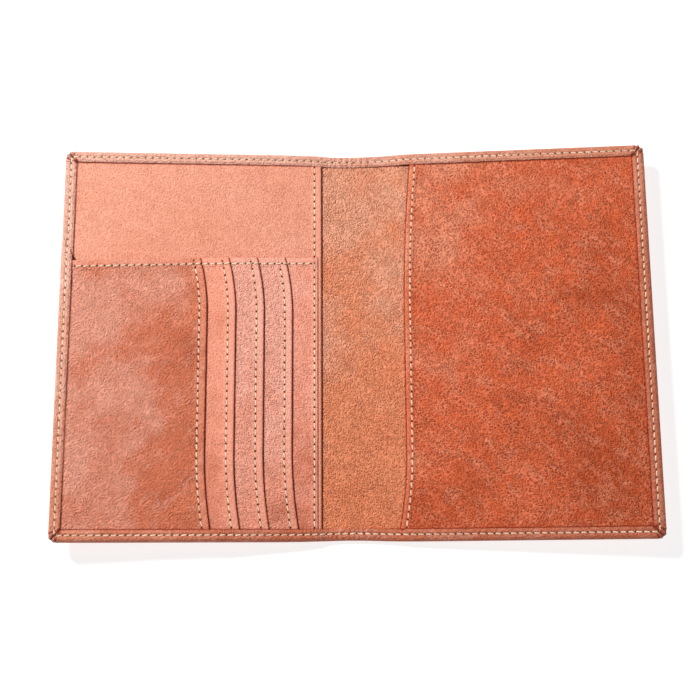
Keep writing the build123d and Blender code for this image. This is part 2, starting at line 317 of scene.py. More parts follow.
HEM_R = 0.45  # radius of a folded edge
HEM_T = 0.28  # a folded hem is this much thicker than the panel
GROOVE = 0.24  # depth that the stitches pull in


def waist(y, mid, flares, top, bottom):
    """Opening edge: straight in the middle, curving aside by a flare at each end."""
    upper = np.clip((y - WAIST_TOP) / (top - WAIST_TOP), 0, None) ** 2
    lower = np.clip((WAIST_BOTTOM - y) / (WAIST_BOTTOM - bottom), 0, None) ** 2
    return mid + flares[0] * upper + flares[1] * lower


def hem_ridge(distance, seam):
    """The folded hem's extra thickness, up to just past its seam."""
    return HEM_T * (1 - smooth(distance, seam + 0.5, seam + 1.3))


def seam_groove(distance, seam):
    """Depth that the leather is pulled in by at its stitches."""
    return GROOVE * bump(distance, seam, 0.42)


def hem_share(distance, seam):
    """1 on the hem, 0 past its seam."""
    return 1 - smooth(distance, seam - 0.4, seam + 0.2)


def hem_crown(distance, seam):
    """Height added by a hem: thicker up to its seam, pulled in at the stitches, then flat."""
    roll = 0.10 * bump(distance, 0.75, 0.5)
    return hem_ridge(distance, seam) + roll - seam_groove(distance, seam)


def nearest(seams):
    """Stitch phase and distance of whichever seam is nearest, and the largest share of hem."""
    phase, distance, hem = seams[0]
    for other_phase, other_distance, other_hem in seams[1:]:
        phase = np.where(other_distance < distance, other_phase, phase)
        distance = np.minimum(distance, other_distance)
        hem = np.maximum(hem, other_hem)
    return phase, distance, hem


def constant(value):
    """A straight edge or a flat underside: one value everywhere."""
    return lambda at: np.full_like(at, value)


def crevice(x, y, over):
    """Distance out of the painted shade in the crevice at the foot of whatever lies on a sheet:
    the rim, or a panel.
    """
    rim = np.minimum(COVER_W - RIM_W - np.abs(x), HALF_H - RIM_W - np.abs(y))
    shade_distance = np.clip(rim, 0, None)
    for name in over:
        shade_distance = np.minimum(shade_distance, PANELS[name].beyond(x, y))
    return shade_distance


class Panel:
    """A pocket panel on one cover: its opening edge, seams and surface, as functions of x and y."""

    def __init__(self, name, side, edge, far, low, seam, top=None, seed=0, gape=0.0, depth=1.0,
                 way=1, under=(), above=None, nose_shade_offset=0):
        self.name, self.side, self.edge, self.far = name, side, edge, far
        self.low, self.seam, self.top, self.seed = low, seam, top, seed
        self.gape, self.depth, self.way = gape, depth, way
        self.under, self.above, self.nose_shade_offset = under, above, nose_shade_offset

    def from_edge(self, x, y):
        """Distance inside the opening edge."""
        return (x - self.edge(y)) * self.side

    def from_top(self, x, y):
        """Distance below the top edge, where the panel has one of its own."""
        return self.top(x) - y if self.top else HALF_H - y

    def crown(self, x, y):
        """Height over the plain sheet: hems, seams, wrinkles and a slightly open mouth."""
        inside = self.from_edge(x, y)
        added = hem_crown(inside, self.seam)
        if self.top:
            below = self.from_top(x, y)
            added = np.maximum(added, hem_ridge(below, TOP_SEAM))
            added -= seam_groove(below, TOP_SEAM) * smooth(inside, self.seam - 0.6, self.seam)
        calm = smooth(inside, self.seam - 1, self.seam + 3)
        return added + wrinkles(x, y, self.seed, self.depth, self.way) * (0.3 + 0.7 * calm)

    def lift(self, x, y):
        """How far the mouth stands open: most at the middle of the edge, nothing at its ends."""
        high = CARD_TOP_Y if self.top else HALF_H
        middle, half = (high - HALF_H) / 2, (high + HALF_H) / 2
        along = 1 - np.clip(np.abs(y - middle) / half, 0, 1) ** 4
        return self.gape * along * np.exp(-np.clip(self.from_edge(x, y), 0, None) / 3.0)

    def surface(self, x, y):
        """Height of the panel's upper face."""
        return self.low(x) + self.lift(x, y) + PANEL_T + self.crown(x, y)

    def beyond(self, x, y):
        """Distance outside the panel's free edges; 0 where the panel covers."""
        return np.clip(np.maximum(-self.from_edge(x, y), -self.from_top(x, y)), 0, None)

    def seam_marks(self, x, y):
        """Seam attribute: stitch phase, distance to the seam, and share of hem."""
        inside = self.from_edge(x, y)
        seams = [(y / PITCH, np.abs(inside - self.seam), hem_share(inside, self.seam))]
        if self.top:
            below = self.from_top(x, y)
            seams.append((x / PITCH, np.abs(below - TOP_SEAM), hem_share(below, TOP_SEAM)))
        return nearest(seams)

    def make(self, visible, fine=0.55):
        """The closed sheet. visible is how far in from its edge the panel can be seen."""
        near = self.edge(np.zeros(1))[0]
        far = abs(self.far - near)
        visible = min(visible, far - 2)
        nose = [(0, HEM_R / 8), (HEM_R / 4, HEM_R / 4), (HEM_R, 0.28), (self.seam + 1.4, fine)]
        columns = spaced(*nose, (visible, 2.5), (far - 0.5, 0.25), (far, 1))
        if self.top:
            high = CARD_TOP_Y
            rows = [(-LAYER_END, 1.0), (-HALF_H + RIM_W - 1, fine), (high - 4.2, 0.28)]
            rows += [(high - HEM_R, HEM_R / 4), (high - HEM_R / 4, HEM_R / 8), (high, 1)]
        else:
            high = LAYER_END
            rows = [(-high, 1.0), (-HALF_H + RIM_W - 1, fine), (HALF_H - RIM_W + 1, 1.0), (high, 1)]
        share = (spaced(*rows) + LAYER_END) / (high + LAYER_END)
        inset, share = np.meshgrid(columns, share)
        tops = self.top(near + self.side * inset) if self.top else high
        y = -LAYER_END + share * (tops + LAYER_END)
        edge = self.edge(y)
        x = edge + inset * (self.far - edge) / far
        fade = round_off(self.from_edge(x, y), HEM_R) * round_off(np.abs(self.far - x), 0.3)
        fade = fade * round_off(y + LAYER_END, 0.3) * round_off(tops - y, HEM_R)
        low = self.low(x) + self.lift(x, y)
        marks = self.seam_marks(x, y)
        # Painted shade: darker at the foot of the rim and of the panels lying on this one, along
        # the top edge of the panel above, and at this panel's own rounded edges, there partly dark
        # edge dye.
        shade_distance = np.minimum(crevice(x, y, self.under), self.nose_shade_offset + 4 * np.abs(self.from_edge(x, y)))
        if self.top:
            shade_distance = np.minimum(shade_distance, 4 * np.abs(tops - y))
        if self.above:
            shade_distance = np.minimum(shade_distance, 0.3 + np.abs(PANELS[self.above].from_top(x, y)))
        return sheet_piece(self.name, x, y, low, PANEL_T, marks, shade_distance, self.crown(x, y), fade)


def card_edge(slot):
    """Opening edge of one card slot."""
    mid = SLOT_EDGES[slot]
    top = card_top(mid + CARD_FLARES[0])
    return lambda y: waist(y, mid, CARD_FLARES, top, -LAYER_END)


def passport_edge(y):
    """Opening edge of the passport pocket."""
    return waist(y, PASSPORT_EDGE, PASSPORT_FLARES, LAYER_END, -LAYER_END)


PANELS = [
    Panel("slip_panel", -1, constant(SLIP_EDGE), -LAYER_FAR, constant(POCKET_LOW), SLIP_SEAM,
          seed=11, gape=0.1, depth=0.7, above="card_backing"),
    Panel("card_backing", -1, constant(BACKING_EDGE), -LAYER_FAR, constant(BACKING_LOW),
          BACKING_SEAM, top=card_top, seed=23, depth=0.6, under=["card_slot_4"], nose_shade_offset=0.5),
    Panel("card_front", -1, card_edge(1), -LAYER_FAR, CARD_LINES[1], CARD_SEAM,
          top=card_top, seed=31, gape=0.12, depth=1.6),
    Panel("passport_panel", 1, passport_edge, LAYER_FAR, constant(POCKET_LOW), PASSPORT_SEAM,
          seed=47, gape=0.2, way=-1),
]
for slot in SLOTS[1:]:
    PANELS.append(Panel(
        f"card_slot_{slot}", -1, card_edge(slot), SLOT_EDGES[slot] - STRIP_W, CARD_LINES[slot],
        CARD_SEAM, top=card_top, seed=50 + 7 * slot, gape=0.12, depth=0.8,
        under=["card_front" if slot == 2 else f"card_slot_{slot - 1}"],
    ))
PANELS = {panel.name: panel for panel in PANELS}
VISIBLE = {"slip_panel": 95, "card_backing": 14, "card_front": 55, "passport_panel": 90}


# --- lining


def lining_half(name, side, seen):
    """One half of the lining, finely divided as far as it is seen beside the spine."""
    columns = side * spaced((0, 0.55), (seen, 2.5), (LAYER_FAR, 1))
    rows = spaced((-LAYER_END, 1.0), (-HALF_H + RIM_W - 1, 0.55), (HALF_H - RIM_W + 1, 1.0),
                  (LAYER_END, 1))
    x, y = np.meshgrid(columns, rows)
    crown = wrinkles(x, y, 5, 0.8) + 0.06 * noise(x, y, 6, 71)
    crown = crown * (1 - smooth(np.abs(x), seen - 4, seen))
    # Painted shade at the foot of the rim and of the pocket panel lying on the lining.
    shade_distance = crevice(x, y, ["passport_panel" if side > 0 else "slip_panel"])
    return sheet_piece(name, x, y, LINING_LOW, LINING_TOP - LINING_LOW, edge=shade_distance, crown=crown)


def fabric_sheet(slot):
    """Thin fabric that carries a card strip on to the rim."""
    start = SLOT_EDGES[slot] - STRIP_W - GAP
    rows = np.linspace(-LAYER_END, FABRIC_TOP_Y, 50)
    x, y = np.meshgrid(np.linspace(-LAYER_FAR, start, 24), rows)
    return sheet_piece(f"pocket_fabric_{slot}", x, y, slot_level(slot), FABRIC_T * 0.9)


# --- outer leather

COARSE = 4  # the back has one vertex for this many on the rim
BACK_INSET = 5.5
BACK_STEP = 1.5
EDGE_R = 1.15

# The way round a half cover: its stretches, which one a point is on, and how far along, 0 to 1.
STEPS = (292, 24, 388, 24, 292)
STRETCH = np.append(np.repeat(range(5), STEPS), 4)
SHARE = np.append(np.concatenate([np.arange(n) / n for n in STEPS]), 1.0)


def inset_points(inset, side=1):
    """The way round at a distance inside the outer edge, as x and y on one side. The corner's arc
    shrinks to its centre, and past that the stretches meet in a sharp corner."""
    inset = np.asarray(inset, float)
    angle = np.where(STRETCH == 1, (1 - SHARE) * math.pi / 2, -SHARE * math.pi / 2)
    left = np.clip(CORNER_R - inset, 0, None)
    pulled = np.clip(inset - CORNER_R, 0, None)
    straight, tall = COVER_W - CORNER_R, HALF_H - CORNER_R
    centre_x, centre_y = straight - pulled, tall - pulled
    out_x, out_y = COVER_W - inset, HALF_H - inset
    x = np.select(
        [STRETCH == 0, STRETCH == 2, STRETCH == 4],
        [np.minimum(SHARE * straight, out_x), out_x, np.minimum((1 - SHARE) * straight, out_x)],
        centre_x + left * np.cos(angle),
    )
    y = np.select(
        [STRETCH == 0, STRETCH == 1, STRETCH == 2, STRETCH == 3],
        [
            out_y + 0 * SHARE,
            centre_y + left * np.sin(angle),
            np.clip(tall * (1 - 2 * SHARE), -out_y, out_y),
            -centre_y + left * np.sin(angle),
        ],
        -out_y,
    )
    return side * x, y


SEAM_X, SEAM_Y = inset_points(np.full(len(SHARE), RIM_SEAM))
SEAM_LENGTH = np.append(0, np.cumsum(np.hypot(np.diff(SEAM_X), np.diff(SEAM_Y))))
RIM_STITCHES = round(SEAM_LENGTH[-1] / PITCH)
RIM_PHASE = SEAM_LENGTH * RIM_STITCHES / SEAM_LENGTH[-1]
FAN_W = RIM_W + 1.0  # reach of a corner's gathers


def corner_place(x, y):
    """Distance from the inner corner of the turned edge, and the angle round it, 0 to 1 from one
    straight stretch to the other. Beside the corner the distance is 0."""
    out_x = np.clip(np.abs(x) - (COVER_W - FAN_W), 0, None)
    out_y = np.clip(np.abs(y) - (HALF_H - FAN_W), 0, None)
    return np.sqrt(out_x * out_y) * 1.2, np.arctan2(out_y, out_x + 1e-9) / (math.pi / 2)


def corner_pleats(x, y):
    """Gathers of the turned edge that fan out from the inner corner, as leather folds round it."""
    reach, angle = corner_place(x, y)
    fan = smooth(reach, 0.2, 1.8) * smooth(angle, 0.10, 0.26) * (1 - smooth(angle, 0.74, 0.90))
    return fan * np.cos(2 * math.pi * (5 * angle + 0.12 * np.sin(9 * angle)))


def corner_shade_distance(x, y):
    """Distance out of a corner's painted shade: its inner point, the mitre that runs out from
    it, and the bottoms of the pleats."""
    reach, angle = corner_place(x, y)
    point = np.hypot(np.abs(x) - COVER_W + RIM_W - 0.3, np.abs(y) - HALF_H + RIM_W - 0.3) - 0.45
    mitre = np.where(reach > 0, 2.6 * np.abs(angle - 0.5) * reach + 0.16 * reach, 9)
    pleat = 0.75 + 0.9 * corner_pleats(x, y)
    return np.clip(np.minimum(np.minimum(point, mitre), pleat), 0, None)


def rim_height(inset, x, y):
    """Top of the turned edge: lies on the layers, puffs up each side of the seam."""
    inward = np.clip(inset, LAYER_INSET + 0.5, None)
    base = stack_height(
        np.sign(x) * np.minimum(np.abs(x), COVER_W - inward),
        np.clip(y, -HALF_H + inward, HALF_H - inward),
        0.55 + 2.6 * (RIM_W - inset),
    )
    puff = 0.14 * bump(inset, 3.3, 0.6) + 0.16 * bump(inset, 1.5, 0.7)
    skived = 0.28 * smooth(inset, RIM_W - 0.9, RIM_W)
    return base + LIP_T + puff - skived - 0.30 * bump(inset, RIM_SEAM, 0.38)


def spine_pucker(x):
    """Fine gathers where the edge is folded over the spine."""
    reach = smooth(x, -14, -9) * (1 - smooth(x, 3, 8))
    return reach * np.sin(x * 2 * math.pi / 1.9 + 1.2 * np.sin(x * 0.7))


def spine_bow(x, y):
    """How far the long edges draw in beside the spine."""
    return np.sign(y) * 0.55 * bump(x, -2, 14) * (np.abs(y) > HALF_H - 12)


SPINE_PUCKER = 0.15
WRAP = 2.5  # leather that goes round the thickness of the cover


def rim_creases(x, y, inset):
    """Small uneven swells across the turned edge, calmest at its seam."""
    along = np.where(np.abs(y) > HALF_H - RIM_W, x, y)
    uneven = noise(along, 4 * inset + 0.2 * x, 1.6, 83) + 0.6 * noise(along, inset, 3.7, 84)
    return 0.055 * uneven * smooth(np.abs(inset - RIM_SEAM), 0.1, 0.9)


def rim_rings(side):
    """Rings of the outer face, from under the lip, over it, round the edge and on to the back."""
    rings = []

    def ring(inset, height, mark=9.0, spread=None):
        x, y = inset_points(inset, side)
        rings.append((x, y, height(x, y), inset, mark, -inset - WRAP if spread is None else spread))

    lip = [(RIM_W - 1.0, 0.10), (RIM_W - 0.5, 0.06)]
    for angle in np.radians([-55, -20, 15, 50, 75]):
        lip.append((RIM_W - 0.4 + 0.4 * math.cos(angle), 0.46 + 0.34 * math.sin(angle)))
    for inset, rise in lip:
        ring(inset, lambda x, y: rim_height(RIM_W, x, y) - LIP_T + rise)
    for inset in spaced((RIM_W - 0.45, 0.24), (EDGE_R + 0.05, 1)):
        ring(inset, lambda x, y: rim_height(inset, x, y), abs(inset - RIM_SEAM))
    for angle in np.radians(np.linspace(90, -90, 12)):
        inset = EDGE_R * (1 - math.cos(angle))
        share = (1 + math.sin(angle)) / 2
        spread = EDGE_R - (2 * EDGE_R + WRAP) * (0.5 + angle / math.pi)
        ring(inset, lambda x, y: rim_height(EDGE_R, x, y) * share, spread=spread)
    for inset in spaced((EDGE_R + 0.25, 0.3), (4.0, 0.75), (BACK_INSET, 1)):
        dent = 0.26 * math.exp(-(((inset - RIM_SEAM) / 0.45) ** 2))
        ring(inset, lambda x, y: 0 * x + dent, abs(inset - RIM_SEAM), inset)
    shaped = []
    for x, y, h, inset, mark, spread in rings:
        pleat = corner_pleats(x, y) * smooth(h, 0.2, 1.0)
        h = h + 0.34 * pleat
        h = h + smooth(h, 0.8, 1.4) * (SPINE_PUCKER * spine_pucker(x) + rim_creases(x, y, inset))
        out = 0.08 * pleat
        shaped.append((x + side * out, y + np.sign(y) * out - spine_bow(x, y), h, mark, spread))
    return shaped


def cover_half(name, side):
    """Outer leather of half the wallet: turned edge, outer face and inner face, closed where it is
    cut at the middle of the spine."""
    points, cut, seam, shade_distance, faces = [], [], [], [], []

    def put(x, y, h, mark, spread, crevice_shade=9.0):
        start = sum(len(block) for block in points)
        points.append(np.stack([x, y, h], axis=-1))
        every = 1 if len(x) == len(RIM_PHASE) else COARSE
        cut.append(np.stack([part[::every] for part in inset_points(spread, side)], axis=-1))
        # Rings near the rim's seam count a quarter as hem: a little paler, partly wear and partly a
        # painted highlight.
        distance, hem = np.full(len(x), mark), np.full(len(x), 0.25 if mark < 9 else 0.0)
        seam.append(np.stack([RIM_PHASE[::every], distance, hem], axis=-1))
        # Painted shade on the raised turned edge: a corner's inner point, mitre and pleat bottoms.
        shade_distance.append(np.minimum(np.where(h > 1, corner_shade_distance(x, y), 9), crevice_shade))
        return start + np.arange(len(x))

    outer = [put(*ring) for ring in rim_rings(side)]
    under_lip = ((1.4, lambda s: s + 0.02), (1.0, lambda s: s - 0.3), (1.0, lambda s: 0 * s + 1.1),
                 (1.3, lambda s: 0 * s + OUTER_T), (BACK_INSET, lambda s: 0 * s + OUTER_T))
    inner = [outer[0]]
    for inset, height in under_lip:
        x, y = inset_points(inset, side)
        top = rim_height(RIM_W, x, y) - LIP_T
        # The rings under the lip are painted wholly in shade.
        inner.append(put(x, y, height(top), 9.0, inset, 0.0))
    for rings, level, flip in ((outer, 0.0, side > 0), (inner, OUTER_T, side < 0)):
        faces += quads(np.stack(rings), flip=flip)
        coarse = []
        for inset in np.append(np.arange(BACK_INSET + BACK_STEP, HALF_H, BACK_STEP), HALF_H):
            x, y = (part[::COARSE] for part in inset_points(inset, side))
            wave = np.abs(wrinkles(x, y, 91, 0.6)) * smooth(inset, BACK_INSET, BACK_INSET + 4)
            coarse.append(put(x, y, level + wave, 9.0, inset))
        fine, first = rings[-1], coarse[0]
        f = [fine[k : len(fine) - 1 : COARSE] for k in range(COARSE)] + [fine[COARSE::COARSE]]
        near, far = first[:-1], first[1:]
        triangles = ((f[0], f[1], near), (f[1], f[2], near), (f[2], far, near),
                     (f[2], f[3], far), (f[3], f[4], far))
        for three in triangles:
            faces += np.stack(three[:: -1 if flip else 1], axis=1).tolist()
        faces += quads(np.stack(coarse), flip=flip)
        rings.extend(coarse)
    for end in (0, -1):
        faces.append([int(ring[end]) for ring in outer] + [int(ring[end]) for ring in inner[:0:-1]])
    points, cut, seam, shade_distance = (np.concatenate(blocks) for blocks in (points, cut, seam, shade_distance))
    return build(name, points, faces, cut, seam, shade_distance)


# --- stitching

THREAD_R = 0.30
STITCH_RINGS, STITCH_SIDES = 7, 8


def stitches(name, path, height, pitch_phase, slant=0.16, below=False):
    """A line of stitches on a path of x and y: each is a twisted, slightly slanted piece of thread
    that rises from one needle hole and sinks into the next."""
    x, y = path
    marks = np.arange(math.ceil(pitch_phase[0] - 1e-6), math.floor(pitch_phase[-1] + 1e-6))
    t = np.linspace(0.06, 0.94, STITCH_RINGS)
    phase = marks[:, None] + t[None, :]
    px, py = np.interp(phase, pitch_phase, x), np.interp(phase, pitch_phase, y)
    dx, dy = np.gradient(px, axis=1), np.gradient(py, axis=1)
    size = np.hypot(dx, dy)
    dx, dy = dx / size, dy / size
    px, py = px - dy * slant * (2 * t - 1), py + dx * slant * (2 * t - 1)
    arch = 1 - (2 * t - 1) ** 4
    lift = -0.18 + 0.30 * arch
    width = THREAD_R * np.sqrt(np.clip(1 - np.abs(2 * t - 1) ** 6, 0.0, None)) * 0.98 + 0.02
    width[[0, -1]] = 0.001
    turn = np.linspace(0, 2 * math.pi, STITCH_SIDES, endpoint=False)
    ply = 1 + 0.10 * np.cos(2 * (turn[None, :] - 5.5 * t[:, None]))
    out = width[:, None] * ply * np.cos(turn)
    up = 0.78 * width[:, None] * ply * np.sin(turn)
    base = height(px, py)
    way = -1 if below else 1
    points = np.stack(
        [
            px[:, :, None] - dy[:, :, None] * out,
            py[:, :, None] + dx[:, :, None] * out,
            base[:, :, None] + way * (lift[None, :, None] + up[None]),
        ],
        axis=-1,
    )
    count = len(marks)
    index = np.arange(count * STITCH_RINGS * STITCH_SIDES).reshape(count, STITCH_RINGS, -1)
    index = np.concatenate([index, index[:, :, :1]], axis=2)
    a, b = index[:, :-1, :-1], index[:, :-1, 1:]
    c, d = index[:, 1:, 1:], index[:, 1:, :-1]
    faces = np.stack([a, b, c, d], axis=-1).reshape(-1, 4)
    along = np.broadcast_to(phase[:, :, None], points.shape[:3]) * PITCH
    around = np.broadcast_to(turn / (2 * math.pi), points.shape[:3])
    cut = np.stack([along, around], axis=-1).reshape(-1, 2)
    return build(name, points.reshape(-1, 3), faces.tolist(), cut)


def edge_stitches(name, panel, low, high, inset):
    """Stitches beside a panel's opening edge."""
    y = np.arange(math.ceil(low / PITCH) * PITCH, high, 0.3)
    x = panel.edge(y) + panel.side * inset
    return stitches(name, (x, y), panel.surface, y / PITCH)


def top_surface(x, y):
    """Upper face of whichever card panel is on top."""
    height = PANELS["card_backing"].surface(x, y)
    for name in ("card_slot_4", "card_slot_3", "card_slot_2", "card_front"):
        panel = PANELS[name]
        over = panel.from_edge(x, y) > 0.2
        height = np.where(over, np.maximum(height, panel.surface(x, y)), height)
    return height


def rim_stitches(name, side, below=False):
    """Stitches along one half of the turned edge, on its inside or its outside."""
    x = side * SEAM_X

    def height(at_x, at_y):
        if below:
            return np.full_like(at_x, 0.24)
        return rim_height(RIM_SEAM, at_x, at_y) + SPINE_PUCKER * spine_pucker(at_x)

    path = (x, SEAM_Y - spine_bow(x, SEAM_Y))
    return stitches(name, path, height, RIM_PHASE, slant=-0.16 * side, below=below)


# --- materials


def node(tree, kind, inputs=None, **settings):
    """A node with its settings, and its inputs linked or given a value."""
    made = tree.nodes.new(kind)
    for key, value in settings.items():
        setattr(made, key, value)
    for key, value in (inputs or {}).items():
        if isinstance(value, bpy.types.NodeSocket):
            tree.links.new(value, made.inputs[key])
        else:
            made.inputs[key].default_value = value
    return made


def tree_of(*values):
    """The node tree of the first socket among some values."""
    return next(value.id_data for value in values if isinstance(value, bpy.types.NodeSocket))


def maths(operation, *values):
    """Result of a Math node."""
    inputs = dict(enumerate(values))
    return node(tree_of(*values), "ShaderNodeMath", inputs, operation=operation).outputs[0]


plus, minus, times = (partial(maths, operation) for operation in ("ADD", "SUBTRACT", "MULTIPLY"))


def vectors(operation, *values):
    """Result of a Vector Math node."""
    inputs = dict(enumerate(values))
    made = node(tree_of(*values), "ShaderNodeVectorMath", inputs, operation=operation)
    return made.outputs["Value" if operation == "DOT_PRODUCT" else "Vector"]


def split(vector):
    """The three parts of a vector."""
    return node(vector.id_data, "ShaderNodeSeparateXYZ", {0: vector}).outputs


def ranged(value, low, high, to_low=0.0, to_high=1.0):
    """Value carried smoothly from one range to another, and held at its ends."""
    inputs = {0: value, 1: low, 2: high, 3: to_low, 4: to_high}
    made = node(value.id_data, "ShaderNodeMapRange", inputs, interpolation_type="SMOOTHSTEP")
    return made.outputs[0]


def mixed(share, a, b, blend="MIX"):
    """Colour between a and b."""
    inputs, tree = {0: share, 6: a, 7: b}, tree_of(share, a, b)
    return node(tree, "ShaderNodeMix", inputs, data_type="RGBA", blend_type=blend).outputs[2]


def new_group(name, inputs, outputs):
    """Empty node group with named inputs and outputs."""
    tree = bpy.data.node_groups.new(name, "ShaderNodeTree")
    for label, kind, value in inputs:
        socket = tree.interface.new_socket(label, in_out="INPUT", socket_type=kind)
        socket.default_value = value
    for label, kind in outputs:
        tree.interface.new_socket(label, in_out="OUTPUT", socket_type=kind)
    return tree, tree.nodes.new("NodeGroupInput").outputs, tree.nodes.new("NodeGroupOutput")


COLOUR, FLOAT, VECTOR = "NodeSocketColor", "NodeSocketFloat", "NodeSocketVector"
MARKS = ("Streaks", "Crackle", "Pits")
# Colour of the painted shade in crevices.
CREVICE_SHADE_COLOUR = (0.27, 0.024, 0.007, 1)
# Colour of the painted shade in needle holes.
HOLE_SHADE_COLOUR = (0.12, 0.025, 0.012, 1)


def noise_at(where, scale, detail=3.0, rough=0.55, output=0):
    """Noise from 0 to 1."""
    inputs = {"Vector": where, "Scale": scale, "Detail": detail, "Roughness": rough}
    return node(where.id_data, "ShaderNodeTexNoise", inputs).outputs[output]


def leather_group():
    """Leather skin on the flat pattern: pebbled grain, its dye darker in small pits between a paler
    net, mottled dye with painted shade that deepens across the panel, pulled-up streaks, paler
    calmer hems (partly worn, partly a painted highlight on the ridge) and painted shade in
    crevices."""
    tree, given, out = new_group(
        "leather_skin",
        [
            *((shade, COLOUR, (0.6, 0.2, 0.1, 1)) for shade in ("Pale", "Full", "Deep")),
            *((place, VECTOR, (0, 0, 0)) for place in ("Shift", "Slope")),
            *((share, FLOAT, 0.3) for share in ("Turn", "Level", "Mottle", *MARKS)),
        ],
        [("Color", COLOUR), ("Roughness", FLOAT), ("Height", FLOAT)],
    )

    pattern = node(tree, "ShaderNodeUVMap", uv_map="Cut").outputs[0]
    flat_mm = vectors("MULTIPLY", pattern, (100, 100, 100))
    mm = vectors("ADD", flat_mm, given["Shift"])

    def turned(where, scale):
        """Places turned to the way the grain runs, and scaled."""
        inputs = {"Vector": where, "Axis": (0, 0, 1), "Angle": given["Turn"]}
        spun = node(tree, "ShaderNodeVectorRotate", inputs).outputs[0]
        return vectors("MULTIPLY", spun, (*scale, 1))

    def shaken(where, scale, reach):
        """Places moved aside by noise."""
        aside = vectors("SUBTRACT", noise_at(mm, scale, 2.0, output="Color"), (0.5, 0.5, 0.5))
        return vectors("ADD", where, vectors("MULTIPLY", aside, (reach, reach, 0)))

    bent = shaken(mm, 0.13, 3.5)
    cells = {"Vector": turned(shaken(bent, 0.9, 0.6), (0.82, 1.15)), "Scale": 1.0}
    cells = node(tree, "ShaderNodeTexVoronoi", cells, feature="DISTANCE_TO_EDGE")
    cells = cells.outputs["Distance"]
    pebble = ranged(cells, -0.03, 0.26)
    pit = ranged(cells, 0.09, 0.26)
    grain = noise_at(turned(bent, (0.78, 1.2)), 1.75, 2.0, 0.45)
    small = noise_at(mm, 1.7, 3.0, 0.7)
    blotch = noise_at(mm, 0.040, 3.0, 0.55)
    cloud = noise_at(mm, 0.15, 5.0, 0.62)
    pit = times(times(pit, given["Pits"]), ranged(cloud, 0.25, 0.7, 0.6, 1.15))
    fold = maths("ABSOLUTE", minus(noise_at(turned(bent, (0.034, 0.10)), 1.0, 3.0, 0.5), 0.5))
    thin = maths("ABSOLUTE", minus(noise_at(turned(bent, (0.10, 0.42)), 1.0, 2.0, 0.5), 0.5))
    streak = ranged(fold, 0.0, 0.045, 1.0, 0.0)
    hair = times(ranged(thin, 0.0, 0.035, 1.0, 0.0), ranged(cloud, 0.45, 0.6))
    streak = maths("MAXIMUM", times(streak, ranged(cloud, 0.3, 0.65)), times(hair, 0.8))

    # Painted shade: the tone deepens along the slope input, towards the bottom and the right of a
    # piece; the level and mottle are the dye's own tone.
    tone_and_shade = plus(vectors("DOT_PRODUCT", flat_mm, given["Slope"]), given["Level"])
    tone_and_shade = plus(tone_and_shade, times(minus(blotch, 0.5), times(given["Mottle"], 4.0)))
    tone_and_shade = plus(tone_and_shade, times(minus(cloud, 0.5), times(given["Mottle"], 1.1)))
    pale = ranged(tone_and_shade, -0.6, 0.3, 1.0, 0.0)
    colour = mixed(pale, given["Full"], given["Pale"])
    colour = mixed(ranged(tone_and_shade, 0.3, 1.2), colour, given["Deep"])
    colour = mixed(times(streak, given["Streaks"]), colour, given["Pale"])
    crack = times(minus(1.0, pebble), given["Crackle"])
    colour = mixed(times(crack, ranged(cloud, 0.35, 0.65)), colour, given["Pale"])
    stained = mixed(1.0, given["Deep"], (0.62, 0.46, 0.40, 1), "MULTIPLY")
    colour = mixed(pit, colour, stained)
    seam = node(tree, "ShaderNodeAttribute", attribute_name="Seam").outputs["Vector"]
    hem = split(seam)[2]
    # Hems are mixed towards the pale dye: partly worn edges, partly a painted highlight on the
    # folded ridge.
    colour = mixed(times(hem, 0.18), colour, given["Pale"])
    shade = plus(plus(0.43, times(grain, 0.75)), times(small, 0.45))
    shade = times(shade, minus(0.91, times(hem, 0.06)))
    grey = node(tree, "ShaderNodeCombineXYZ", {0: shade, 1: shade, 2: shade}).outputs[0]
    colour = mixed(1.0, colour, grey, "MULTIPLY")
    # Painted shade: darker towards the crevice colour near the crevices that the Edge attribute
    # measures.
    edge = node(tree, "ShaderNodeAttribute", attribute_name="Edge").outputs["Fac"]
    crevice_shade = ranged(edge, 0.05, 0.75, 0.85, 0.0)
    colour = mixed(crevice_shade, colour, CREVICE_SHADE_COLOUR)
    tree.links.new(colour, out.inputs["Color"])

    tree.links.new(minus(0.60, times(pebble, 0.10)), out.inputs["Roughness"])
    height = plus(times(grain, 1.7), plus(times(hair, 0.35), times(small, 0.7)))
    height = plus(height, times(pebble, 0.5))
    height = times(height, minus(1.0, times(hem, 0.55)))
    tree.links.new(height, out.inputs["Height"])
    return tree


def needle_group():
    """Needle holes: a dent at every whole stitch along the seam attribute, painted dark as the
    shade in the hole, with faint painted shade along the seam.
    """
    tree, given, out = new_group(
        "needle_holes",
        [("Color", COLOUR, (1, 1, 1, 1)), ("Height", FLOAT, 0.0), ("Radius", FLOAT, 0.42)],
        [("Color", COLOUR), ("Height", FLOAT)],
    )
    seam = node(tree, "ShaderNodeAttribute", attribute_name="Seam").outputs["Vector"]
    phase, across, _ = split(seam)
    along = times(minus(maths("FRACT", plus(phase, 0.5)), 0.5), PITCH)
    squared = plus(times(along, along), times(across, across))
    away = maths("DIVIDE", maths("SQRT", squared), given["Radius"])
    hole = ranged(away, 0.6, 1.1, 1.0, 0.0)
    groove = ranged(across, 0.0, 0.7, 0.16, 0.0)
    # Painted shade: dark in each needle hole, and faintly along the seam.
    dark = mixed(maths("MAXIMUM", hole, groove), given["Color"], HOLE_SHADE_COLOUR)
    tree.links.new(dark, out.inputs["Color"])
    tree.links.new(minus(given["Height"], hole), out.inputs["Height"])
    return tree


SKIN = leather_group()
NEEDLE = needle_group()


